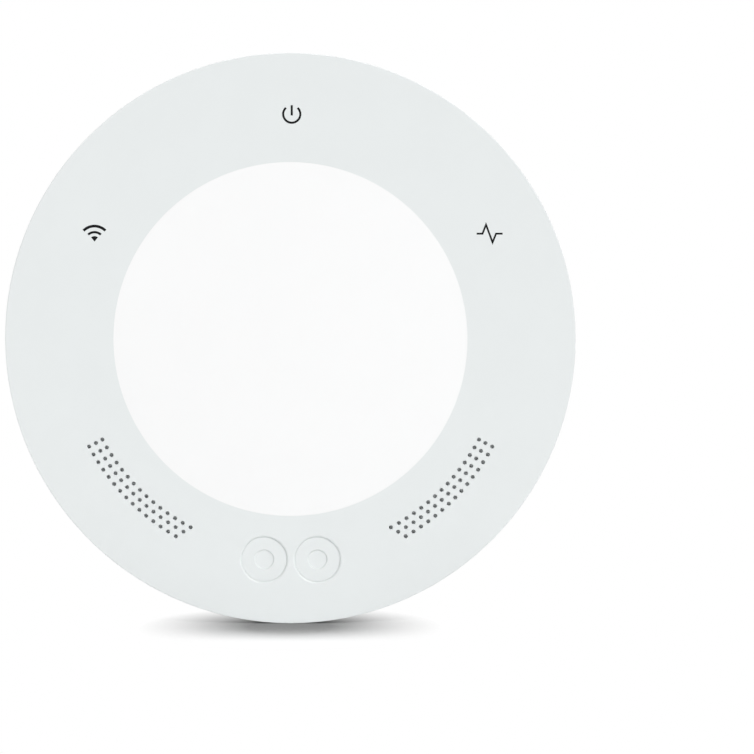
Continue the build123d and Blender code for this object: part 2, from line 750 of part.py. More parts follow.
for side, angle in sides.items():
    with BuildPart() as grille_cloth:
        with BuildSketch(Plane.XZ.offset(grille_relief_front)):
            speaker_outline(cloth_size, angle)
        extrude(amount=-cloth_thickness)
    grille_cloth.part.label = f"grille_cloth_{side}"
    export_step(grille_cloth.part, f"parts/grille_cloth_{side}.step")

    with BuildPart() as speaker_gasket:
        with BuildSketch(Plane.XZ.offset(gasket_end)):
            speaker_outline(speaker_size, angle)
            speaker_outline(gasket_opening, angle, mode=Mode.SUBTRACT)
        extrude(amount=ring_back - gasket_end)
    speaker_gasket.part.label = f"speaker_gasket_{side}"
    export_step(speaker_gasket.part, f"parts/speaker_gasket_{side}.step")

    with BuildPart() as speaker_frame:
        with BuildSketch(Plane.XZ.offset(gasket_end)):
            speaker_outline(speaker_size, angle)
        extrude(amount=-flange_thickness)
        with BuildSketch(Plane.XZ.offset(gasket_end)):
            speaker_outline(basket_size, angle)
        extrude(amount=basket_end - gasket_end)
        with BuildSketch(Plane.XZ.offset(gasket_end)):
            speaker_outline(cavity_size, angle)
        extrude(amount=basket_floor - gasket_end, mode=Mode.SUBTRACT)
        with BuildSketch(Plane.XZ.offset(basket_end)):
            with PolarLocations(speaker_radius, 1, angle):
                Rectangle(magnet_size, magnet_size)
                with GridLocations(0, port_spread, 1, 2):
                    Rectangle(*port_size)
        extrude(amount=basket_floor - basket_end, mode=Mode.SUBTRACT)
    speaker_frame.part.label = f"speaker_frame_{side}"
    export_step(speaker_frame.part, f"parts/speaker_frame_{side}.step")

    with BuildPart() as speaker_surround:
        with BuildSketch(Plane.XZ.offset(cone_front)):
            speaker_outline(cavity_size, angle)
            speaker_outline(cone_size, angle, cone_gap, Mode.SUBTRACT)
        extrude(amount=-cone_wall)
    speaker_surround.part.label = f"speaker_surround_{side}"
    export_step(speaker_surround.part, f"parts/speaker_surround_{side}.step")

    with BuildPart() as speaker_cone:
        with BuildSketch(Plane.XZ.offset(cone_front)):
            speaker_outline(cone_size, angle)
        extrude(amount=-cone_depth, taper=cone_taper)
        with BuildSketch(Plane.XZ.offset(cone_front)):
            speaker_outline(cone_size, angle, -cone_wall)
        extrude(amount=cone_wall - cone_depth, taper=cone_taper, mode=Mode.SUBTRACT)
        with BuildSketch(Plane.XZ.offset(cone_front - cone_depth)):
            with PolarLocations(speaker_radius, 1, angle):
                Rectangle(coil_size, coil_size)
                Rectangle(coil_size - 2 * coil_wall, coil_size - 2 * coil_wall, mode=Mode.SUBTRACT)
        extrude(amount=coil_end - cone_front + cone_depth)
    speaker_cone.part.label = f"speaker_cone_{side}"
    export_step(speaker_cone.part, f"parts/speaker_cone_{side}.step")

    with BuildPart() as speaker_magnet:
        gap_outer = coil_size + 2 * magnet_gap
        gap_inner = coil_size - 2 * coil_wall - 2 * magnet_gap
        with BuildSketch(Plane.XZ.offset(magnet_end)):
            with PolarLocations(speaker_radius, 1, angle):
                Rectangle(magnet_size, magnet_size)
        extrude(amount=magnet_front - magnet_end)
        with BuildSketch(Plane.XZ.offset(magnet_gap_end)):
            with PolarLocations(speaker_radius, 1, angle):
                Rectangle(gap_outer, gap_outer)
                Rectangle(gap_inner, gap_inner, mode=Mode.SUBTRACT)
        extrude(amount=magnet_front - magnet_gap_end, mode=Mode.SUBTRACT)
    speaker_magnet.part.label = f"speaker_magnet_{side}"
    export_step(speaker_magnet.part, f"parts/speaker_magnet_{side}.step")


# Spring contacts that join each speaker to the board: two bent strips under each frame
contact_width = 1.4
contact_thickness = 0.2
contact_leg = 3.0
contact_spread = 24.6

with BuildPart() as speaker_contacts:
    for angle in sides.values():
        with BuildSketch(Plane.XZ.offset(board_front)):
            with PolarLocations(speaker_radius, 1, angle):
                with GridLocations(0, contact_spread, 1, 2):
                    Rectangle(contact_leg, contact_width)
        extrude(amount=basket_end - board_front)
        with BuildSketch(Plane.XZ.offset(board_front + contact_thickness)):
            with PolarLocations(speaker_radius - contact_thickness, 1, angle):
                with GridLocations(0, contact_spread, 1, 2):
                    Rectangle(contact_leg, contact_width)
        extrude(amount=basket_end - board_front - 2 * contact_thickness, mode=Mode.SUBTRACT)
speaker_contacts.part.label = "speaker_contacts"
export_step(speaker_contacts.part, "parts/speaker_contacts.step")


# Under the disc: a screening can over the processor, a radio module and a strip antenna
can_size = (30.0, 24.0)
can_height = 2.6
can_wall = 0.3
can_lip = 0.6
can_corner = 1.2
can_chamfer = 0.3
can_middle = (4.0, 4.0)
radio_size = (13.0, 17.0)
radio_can_size = (11.4, 11.4)
radio_middle = (-24.0, 2.0)
radio_can_shift = -2.0
radio_board_thickness = 0.8
radio_can_height = 1.6
antenna_circle = 54.0
antenna_angles = (163.0, 201.0)
antenna_strip = (0.4, 2.4)
antenna_foot_angle = 3.0
antenna_foot_height = 1.2

with BuildPart() as processor_shield:
    with BuildSketch(Plane.XZ.offset(board_front)):
        with Locations(can_middle):
            RectangleRounded(*can_size, can_corner)
    extrude(amount=can_height)
    chamfer(processor_shield.edges().group_by(Axis.Y)[0], can_chamfer)
    with BuildSketch(Plane.XZ.offset(board_front)):
        with Locations(can_middle):
            Rectangle(can_size[0] - 2 * can_lip, can_size[1] - 2 * can_lip)
    extrude(amount=can_height - can_wall, mode=Mode.SUBTRACT)
processor_shield.part.label = "processor_shield"
export_step(processor_shield.part, "parts/processor_shield.step")

with BuildPart() as radio_module:
    with BuildSketch(Plane.XZ.offset(board_front)):
        with Locations(radio_middle):
            Rectangle(*radio_size)
    extrude(amount=radio_board_thickness)
    with BuildSketch(Plane.XZ.offset(board_front + radio_board_thickness)):
        with Locations((radio_middle[0], radio_middle[1] + radio_can_shift)):
            Rectangle(*radio_can_size)
    extrude(amount=radio_can_height)
    chamfer(radio_module.edges().group_by(Axis.Y)[0], can_chamfer)
radio_module.part.label = "radio_module"
export_step(radio_module.part, "parts/radio_module.step")

with BuildPart() as sensor_antenna:
    first, last = antenna_angles
    inner = antenna_circle - antenna_strip[0] / 2
    outer = antenna_circle + antenna_strip[0] / 2
    with BuildSketch(Plane.XZ.offset(board_front + antenna_foot_height)):
        add(ring_sector(inner, outer, (first + last) / 2, (last - first) / 2))
    extrude(amount=antenna_strip[1])
    with BuildSketch(Plane.XZ.offset(board_front)):
        add(ring_sector(inner, outer, first + antenna_foot_angle / 2, antenna_foot_angle / 2))
    extrude(amount=antenna_foot_height)
sensor_antenna.part.label = "sensor_antenna"
export_step(sensor_antenna.part, "parts/sensor_antenna.step")


# Relays on the back of the board, side by side above the wiring bay
relay_size = (10.6, 7.6)
relay_depth = 5.2
relay_step = 13.0
relay_row = -5.0
relay_chamfer = 0.4

with BuildPart() as relays:
    with BuildSketch(Plane.XZ.offset(board_back)):
        with Locations((0, relay_row)):
            with GridLocations(relay_step, 0, 3, 1):
                Rectangle(*relay_size)
    extrude(amount=-relay_depth)
    chamfer(relays.edges().group_by(Axis.Y)[-1], relay_chamfer)
relays.part.label = "relays"
export_step(relays.part, "parts/relays.step")


# Screw terminals in the wiring bay: six ways for the gate, four for wired sensors
terminal_top = -15.0
terminal_depth = 8.0
terminal_height = 7.0
terminal_well = 2.6
terminal_well_depth = 2.4
terminal_mouth = (2.6, 2.8)
terminal_mouth_height = 10.4
terminal_mouth_depth = 5.0
terminal_slope = 1.2
terminal_blocks = {"gate": (6, -18.8), "sensor": (4, 5.0)}

for name, (ways, first_x) in terminal_blocks.items():
    middle_x = first_x + ways * terminal_pitch / 2
    middle_z = terminal_top - terminal_depth / 2

    with BuildPart() as terminals:
        with BuildSketch(Plane.XZ.offset(board_back)):
            with Locations((middle_x, middle_z)):
                Rectangle(ways * terminal_pitch, terminal_depth)
        extrude(amount=-terminal_height)
        back_edges = terminals.edges().group_by(Axis.Y)[-1]
        chamfer(back_edges.filter_by(Axis.X).sort_by(Axis.Z)[0], terminal_slope)
        with BuildSketch(Plane.XZ.offset(board_back - terminal_height)):
            with Locations((middle_x, middle_z)):
                with GridLocations(terminal_pitch, 0, ways, 1):
                    Rectangle(terminal_well, terminal_well)
        extrude(amount=terminal_well_depth, mode=Mode.SUBTRACT)
        with BuildSketch(Plane.XY.offset(terminal_top - terminal_depth)):
            with Locations((middle_x, -terminal_mouth_height)):
                with GridLocations(terminal_pitch, 0, ways, 1):
                    Rectangle(*terminal_mouth)
        extrude(amount=terminal_mouth_depth, mode=Mode.SUBTRACT)
    terminals.part.label = f"{name}_terminals"
    export_step(terminals.part, f"parts/{name}_terminals.step")


# Power inlet: a small metal socket at the lower edge of the board, with its tongue
inlet_face = -58.3
inlet_depth = 5.6
inlet_wall = 0.3
inlet_corner = 0.7
inlet_bore_corner = 0.5
inlet_bottom = 1.0
inlet_tongue = (5.4, 0.7)

with BuildPart() as power_inlet:
    with BuildSketch(Plane.XY.offset(inlet_face)):
        with Locations((0, -inlet_height)):
            RectangleRounded(*inlet_shell, inlet_corner)
    extrude(amount=inlet_depth)
    with BuildSketch(Plane.XY.offset(inlet_face)):
        with Locations((0, -inlet_height)):
            RectangleRounded(
                inlet_shell[0] - 2 * inlet_wall,
                inlet_shell[1] - 2 * inlet_wall,
                inlet_bore_corner,
            )
            Rectangle(*inlet_tongue, mode=Mode.SUBTRACT)
    extrude(amount=inlet_depth - inlet_bottom, mode=Mode.SUBTRACT)
power_inlet.part.label = "power_inlet"
export_step(power_inlet.part, "parts/power_inlet.step")


# Parts of the supply and of the relay drive on the back of the board
capacitor_places = [(-27.0, 16.0), (-27.0, 24.5), (27.0, 16.0)]
capacitor_radius = 3.15
capacitor_depth = 5.4
capacitor_base_side = 6.7
capacitor_base_depth = 0.9
inductor_place = (27.0, 25.0)
inductor_size = 7.3
inductor_depth = 3.6
inductor_corner = 1.6
inductor_chamfer = 0.4
chip_places = [(-12.0, 16.0), (0.0, 16.0), (12.0, 16.0)]
chip_size = (5.0, 4.0)
chip_depth = 1.5
lead_width = 0.5
lead_pitch = 1.27
lead_rise = 0.4
lead_count = 4
lead_reach = 6.0

with BuildPart() as storage_capacitors:
    with BuildSketch(Plane.XZ.offset(board_back)):
        with Locations(*capacitor_places):
            Rectangle(capacitor_base_side, capacitor_base_side)
    extrude(amount=-capacitor_base_depth)
    with BuildSketch(Plane.XZ.offset(board_back - capacitor_base_depth)):
        with Locations(*capacitor_places):
            Circle(capacitor_radius)
    extrude(amount=capacitor_base_depth - capacitor_depth)
storage_capacitors.part.label = "storage_capacitors"
export_step(storage_capacitors.part, "parts/storage_capacitors.step")

with BuildPart() as power_inductor:
    with BuildSketch(Plane.XZ.offset(board_back)):
        with Locations(inductor_place):
            RectangleRounded(inductor_size, inductor_size, inductor_corner)
    extrude(amount=-inductor_depth)
    chamfer(power_inductor.edges().group_by(Axis.Y)[-1], inductor_chamfer)
power_inductor.part.label = "power_inductor"
export_step(power_inductor.part, "parts/power_inductor.step")

with BuildPart() as control_chips:
    with BuildSketch(Plane.XZ.offset(board_back - lead_rise)):
        with Locations(*chip_places):
            Rectangle(*chip_size)
    extrude(amount=lead_rise - chip_depth)
    with BuildSketch(Plane.XZ.offset(board_back)):
        for place in chip_places:
            with Locations(place):
                with GridLocations(lead_pitch, 0, lead_count, 1):
                    Rectangle(lead_width, lead_reach)
    extrude(amount=-2 * lead_rise)
control_chips.part.label = "control_chips"
export_step(control_chips.part, "parts/control_chips.step")
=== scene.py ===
import bmesh
import bpy
from math import cos, pi, radians, sin, sqrt
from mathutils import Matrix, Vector


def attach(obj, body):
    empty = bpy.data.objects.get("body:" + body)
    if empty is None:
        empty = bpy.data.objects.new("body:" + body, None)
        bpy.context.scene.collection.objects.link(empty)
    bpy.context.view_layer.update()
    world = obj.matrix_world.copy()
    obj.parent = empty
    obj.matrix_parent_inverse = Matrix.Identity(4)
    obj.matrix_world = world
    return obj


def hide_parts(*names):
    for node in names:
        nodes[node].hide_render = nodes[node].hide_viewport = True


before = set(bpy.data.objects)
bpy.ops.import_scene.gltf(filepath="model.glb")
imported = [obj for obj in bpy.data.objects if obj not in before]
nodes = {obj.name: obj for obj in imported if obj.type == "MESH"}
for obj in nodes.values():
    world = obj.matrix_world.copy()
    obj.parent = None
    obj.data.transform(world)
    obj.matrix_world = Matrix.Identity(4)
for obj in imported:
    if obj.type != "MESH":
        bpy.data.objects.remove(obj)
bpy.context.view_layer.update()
print("frame loaded:", len(nodes), "nodes")

mm = 0.001  # every size below is written in millimetres and multiplied by this
hair = 0.01  # places closer than this many millimetres count as the same height
weldReach = 0.001  # vertices closer than this many millimetres are merged
alongWay = 0.9  # two directions whose product is over this count as the same


# Selecting and shaping: everything is deselected first, because the loaded nodes come in selected
def clearSelection():
    if bpy.context.mode != "OBJECT":
        bpy.ops.object.mode_set(mode="OBJECT")
    bpy.ops.object.select_all(action="DESELECT")


def makeActive(piece):
    clearSelection()
    piece.select_set(True)
    bpy.context.view_layer.objects.active = piece


def editAll(piece):
    makeActive(piece)
    bpy.ops.object.mode_set(mode="EDIT")
    bpy.ops.mesh.select_all(action="SELECT")


def nameIt(name):
    piece = bpy.context.object
    piece.name = name
    piece.data.name = name
    return piece


def pickFaces(piece, test):
    # edit mode: only the faces whose centre and normal pass the test stay selected
    bpy.ops.mesh.select_mode(type="FACE")
    bpy.ops.mesh.select_all(action="DESELECT")
    shape = bmesh.from_edit_mesh(piece.data)
    for face in shape.faces:
        face.select = test(piece.matrix_world @ face.calc_center_median(), face.normal)
    shape.select_flush_mode()
    bmesh.update_edit_mesh(piece.data)


def pickEdges(piece, test):
    bpy.ops.mesh.select_mode(type="EDGE")
    bpy.ops.mesh.select_all(action="DESELECT")
    shape = bmesh.from_edit_mesh(piece.data)
    for edge in shape.edges:
        ends = [piece.matrix_world @ v.co for v in edge.verts]
        edge.select = test(ends[0], ends[1])
    shape.select_flush_mode()
    bmesh.update_edit_mesh(piece.data)


def settle(piece, smoothAngle=32):
    # place goes into the mesh, so the object ends at the origin, unturned and unscaled
    makeActive(piece)
    bpy.ops.object.transform_apply(location=True, rotation=True, scale=True)
    bpy.ops.object.shade_smooth_by_angle(angle=radians(smoothAngle))
    return piece


def applyModifiers(piece):
    makeActive(piece)
    for name in [m.name for m in piece.modifiers]:
        bpy.ops.object.modifier_apply(modifier=name)


def weighNormals(piece):
    # large flat faces keep their own shading beside small ones
    makeActive(piece)
    bpy.ops.object.modifier_add(type="WEIGHTED_NORMAL")
    piece.modifiers[-1].keep_sharp = True
    piece.modifiers[-1].weight = 100
    applyModifiers(piece)


def joinPieces(pieces, name):
    clearSelection()
    for piece in pieces:
        piece.select_set(True)
    bpy.context.view_layer.objects.active = pieces[0]
    if len(pieces) > 1:
        bpy.ops.object.join()
    return nameIt(name)


def point(radius, height, centre=(0.0, 0.0)):
    # profile point in mm: radius to the right of the turning axis, height in front of the wall
    return Vector(((centre[0] + radius) * mm, -height * mm, centre[1] * mm))


def drawLine(name, points):
    # one vertex, extruded from point to point
    clearSelection()
    bpy.ops.mesh.primitive_plane_add(size=mm, location=points[0])
    piece = nameIt(name)
    bpy.ops.object.mode_set(mode="EDIT")
    bpy.ops.mesh.select_mode(type="VERT")
    bpy.ops.mesh.select_all(action="SELECT")
    bpy.ops.mesh.merge(type="CENTER")
    for here, there in zip(points, points[1:]):
        step = Vector(there) - Vector(here)
        bpy.ops.mesh.extrude_region_move(TRANSFORM_OT_translate={"value": step})
    return piece


def turnProfile(name, profile, centre=(0.0, 0.0), steps=160):
    # the profile line is spun round its own axis, which runs along Y
    piece = drawLine(name, [point(r, h, centre) for r, h in profile])
    bpy.ops.mesh.select_all(action="SELECT")
    axisPoint = (centre[0] * mm, 0.0, centre[1] * mm)
    bpy.ops.mesh.spin(steps=steps, angle=2 * pi, center=axisPoint, axis=(0, 1, 0))
    bpy.ops.mesh.select_all(action="SELECT")
    bpy.ops.mesh.remove_doubles(threshold=weldReach * mm)
    bpy.ops.mesh.normals_make_consistent(inside=False)
    bpy.ops.object.mode_set(mode="OBJECT")
    return piece


def arcPoints(across, up, radius, fromAngle, toAngle, steps=6):
    # points of an arc round a centre, for rounded edges of profiles and for printed lines
    angles = [radians(fromAngle + (toAngle - fromAngle) * i / steps) for i in range(steps + 1)]
    return [(across + radius * cos(angle), up + radius * sin(angle)) for angle in angles]


def addBox(name, x, z, lowHeight, highHeight, sizeX, sizeZ, angle=0.0):
    # a block along the ring: its place is in mm, its angle turns it round the Y axis
    clearSelection()
    bpy.ops.mesh.primitive_cube_add(
        size=1.0,
        location=(x * mm, -(lowHeight + highHeight) / 2 * mm, z * mm),
        rotation=(0, -radians(angle), 0),
        scale=(sizeX * mm, (highHeight - lowHeight) * mm, sizeZ * mm),
    )
    piece = nameIt(name)
    bpy.ops.object.transform_apply(location=True, rotation=True, scale=True)
    return piece


def ringPlace(radius, angle):
    return radius * cos(radians(angle)), radius * sin(radians(angle))


# Materials: each has mottled colour, uneven roughness and a bumped surface, and some have paler
# worn edges
def newFinish(name):
    material = bpy.data.materials.new(name)
    material.use_nodes = True
    tree = material.node_tree
    tree.nodes.clear()
    output = tree.nodes.new("ShaderNodeOutputMaterial")
    shader = tree.nodes.new("ShaderNodeBsdfPrincipled")
    tree.links.new(shader.outputs["BSDF"], output.inputs["Surface"])
    return material, tree, shader


def noiseFrom(tree, place, scale, detail=3.0, roughness=0.55):
    noise = tree.nodes.new("ShaderNodeTexNoise")
    noise.inputs["Scale"].default_value = scale
    noise.inputs["Detail"].default_value = detail
    noise.inputs["Roughness"].default_value = roughness
    tree.links.new(place, noise.inputs["Vector"])
    return noise.outputs["Fac"]


def spread(tree, value, low, high, fromLow=0.3, fromHigh=0.7):
    remap = tree.nodes.new("ShaderNodeMapRange")
    remap.inputs["From Min"].default_value = fromLow
    remap.inputs["From Max"].default_value = fromHigh
    remap.inputs["To Min"].default_value = low
    remap.inputs["To Max"].default_value = high
    tree.links.new(value, remap.inputs["Value"])
    return remap.outputs["Result"]


def mixColours(tree, factor, first, second):
    mix = tree.nodes.new("ShaderNodeMix")
    mix.data_type = "RGBA"
    tree.links.new(factor, mix.inputs["Factor"])
    for socket, colour in (("A", first), ("B", second)):
        target = [s for s in mix.inputs if s.name == socket and s.type == "RGBA"][0]
        if isinstance(colour, bpy.types.NodeSocket):
            tree.links.new(colour, target)
        else:
            target.default_value = (*colour, 1.0)
    return [s for s in mix.outputs if s.type == "RGBA"][0]


def objectPlace(tree, turn=(0.0, 0.0, 0.0), scale=(1.0, 1.0, 1.0)):
    coordinate = tree.nodes.new("ShaderNodeTexCoord")
    mapping = tree.nodes.new("ShaderNodeMapping")
    mapping.inputs["Rotation"].default_value = turn
    mapping.inputs["Scale"].default_value = scale
    tree.links.new(coordinate.outputs["Object"], mapping.inputs["Vector"])
    return mapping.outputs["Vector"]


def scaled(colour, amount):
    return tuple(min(1.0, c * amount) for c in colour)


def product(tree, first, second):
    times = tree.nodes.new("ShaderNodeMath")
    times.operation = "MULTIPLY"
    tree.links.new(first, times.inputs[0])
    tree.links.new(second, times.inputs[1])
    return times.outputs[0]


def addBump(tree, shader, height, strength, depth):
    bump = tree.nodes.new("ShaderNodeBump")
    bump.inputs["Strength"].default_value = strength
    bump.inputs["Distance"].default_value = depth * mm
    tree.links.new(height, bump.inputs["Height"])
    tree.links.new(bump.outputs["Normal"], shader.inputs["Normal"])
    return bump


def wornEdge(tree, values):
    # rises near an edge, where the normal taken over a small reach leaves the surface's own
    around = tree.nodes.new("ShaderNodeBevel")
    around.samples = values["edgeSamples"]
    around.inputs["Radius"].default_value = values["wearReach"] * mm
    geometry = tree.nodes.new("ShaderNodeNewGeometry")
    along = tree.nodes.new("ShaderNodeVectorMath")
    along.operation = "DOT_PRODUCT"
    tree.links.new(around.outputs["Normal"], along.inputs[0])
    tree.links.new(geometry.outputs["Normal"], along.inputs[1])
    return spread(tree, along.outputs["Value"], values["wear"], 0.0, *values["wearRange"])


plainFinish = {
    "stretch": (1.0, 1.0, 1.0), "mottleScale": 90.0, "roughScale": 700.0, "metallic": 0.0,
    "ior": 1.48, "specular": 0.5, "transmission": 0.0, "coat": 0.0, "coatRoughness": 0.2,
    "sheen": 0.0, "bump": 0.2, "grainScale": 5000.0, "grainDepth": 0.01, "edgeRadius": 0.0,
    "edgeSamples": 4, "wear": 0.0, "wearReach": 0.25, "wearRange": (0.7, 0.97), "wearGain": 1.06,
}


def mouldedFinish(name, ownValues):
    # plastics, rubber, paint and metal: one recipe, where each finish changes the plain values
    values = {**plainFinish, **ownValues}
    material, tree, shader = newFinish(name)
    place = objectPlace(tree, scale=values["stretch"])
    colour = values["colour"]
    mottle = spread(tree, noiseFrom(tree, place, values["mottleScale"]), 0.0, 1.0)
    tone = mixColours(
        tree, mottle, scaled(colour, 1 - values["mottle"]), scaled(colour, 1 + values["mottle"])
    )
    if values["wear"] > 0:
        edge = product(tree, wornEdge(tree, values), mottle)
        worn = values.get("wearColour", scaled(colour, values["wearGain"]))
        tone = mixColours(tree, edge, tone, worn)
    tree.links.new(tone, shader.inputs["Base Color"])
    rough = noiseFrom(tree, place, values["roughScale"], detail=4.0)
    tree.links.new(spread(tree, rough, *values["roughness"]), shader.inputs["Roughness"])
    for socket, key in (
        ("Metallic", "metallic"),
        ("IOR", "ior"),
        ("Specular IOR Level", "specular"),
        ("Transmission Weight", "transmission"),
        ("Coat Weight", "coat"),
        ("Coat Roughness", "coatRoughness"),
        ("Sheen Weight", "sheen"),
    ):
        shader.inputs[socket].default_value = values[key]
    grain = noiseFrom(tree, place, values["grainScale"], detail=2.0, roughness=0.5)
    bump = addBump(tree, shader, grain, values["bump"], values["grainDepth"])
    if values["edgeRadius"] > 0:
        soft = tree.nodes.new("ShaderNodeBevel")
        soft.samples = values["edgeSamples"]
        soft.inputs["Radius"].default_value = values["edgeRadius"] * mm
        tree.links.new(soft.outputs["Normal"], bump.inputs["Normal"])
    return material


clothValues = {
    "threads": 900.0,
    "gapColour": (0.45, 0.455, 0.46),
    "threadColour": (0.85, 0.86, 0.87),
    "twist": 0.6,
    "roughness": (0.95, 0.75),
    "sheen": 0.3,
    "bump": 0.6,
    "threadDepth": 0.03,
}


def wovenFinish(name, values):
    # cloth behind the grilles: two sets of threads that cross, with a fine twist
    material, tree, shader = newFinish(name)
    waves = []
    for turn in (0.0, pi / 2):
        place = objectPlace(tree, turn=(0.0, turn, 0.0))
        wave = tree.nodes.new("ShaderNodeTexWave")
        wave.wave_type = "BANDS"
        wave.bands_direction = "X"
        wave.inputs["Scale"].default_value = values["threads"]
        wave.inputs["Distortion"].default_value = values["twist"]
        tree.links.new(place, wave.inputs["Vector"])
        waves.append(wave.outputs["Fac"])
    weave = product(tree, waves[0], waves[1])
    tone = mixColours(tree, weave, values["gapColour"], values["threadColour"])
    tree.links.new(tone, shader.inputs["Base Color"])
    rough = spread(tree, weave, *values["roughness"], 0.0, 1.0)
    tree.links.new(rough, shader.inputs["Roughness"])
    shader.inputs["Sheen Weight"].default_value = values["sheen"]
    addBump(tree, shader, weave, values["bump"], values["threadDepth"])
    return material


boardValues = {
    "mask": (0.010, 0.11, 0.05),
    "maskOverCopper": (0.03, 0.21, 0.09),
    "trackScale": 150.0,
    "trackPitch": 0.11,
    "trackEdge": (0.45, 0.6),
    "copperDepth": 0.03,
    "dustScale": 160.0,
    "dust": 0.25,
    "dustGain": 1.6,
    "roughScale": 900.0,
    "roughness": (0.28, 0.42),
    "coat": 0.5,
    "coatRoughness": 0.15,
    "bump": 0.5,
}


def boardFinish(name, values):
    # solder mask over copper: paler tracks where copper lies under the mask, and a little dust
    material, tree, shader = newFinish(name)
    place = objectPlace(tree, turn=(pi / 2, 0.0, 0.0))
    tracks = tree.nodes.new("ShaderNodeTexVoronoi")
    tracks.feature = "F1"
    tracks.distance = "CHEBYCHEV"
    tracks.inputs["Scale"].default_value = values["trackScale"]
    tree.links.new(place, tracks.inputs["Vector"])
    lines = tree.nodes.new("ShaderNodeMath")
    lines.operation = "PINGPONG"
    pitch = values["trackPitch"]
    lines.inputs[1].default_value = pitch
    tree.links.new(tracks.outputs["Distance"], lines.inputs[0])
    edges = [share * pitch for share in values["trackEdge"]]
    copper = spread(tree, lines.outputs[0], 0.0, 1.0, *edges)
    tone = mixColours(tree, copper, values["mask"], values["maskOverCopper"])
    dust = spread(tree, noiseFrom(tree, place, values["dustScale"]), 0.0, values["dust"])
    tone = mixColours(tree, dust, tone, scaled(values["mask"], values["dustGain"]))
    tree.links.new(tone, shader.inputs["Base Color"])
    rough = noiseFrom(tree, place, values["roughScale"])
    tree.links.new(spread(tree, rough, *values["roughness"]), shader.inputs["Roughness"])
    shader.inputs["Coat Weight"].default_value = values["coat"]
    shader.inputs["Coat Roughness"].default_value = values["coatRoughness"]
    addBump(tree, shader, copper, values["bump"], values["copperDepth"])
    return material


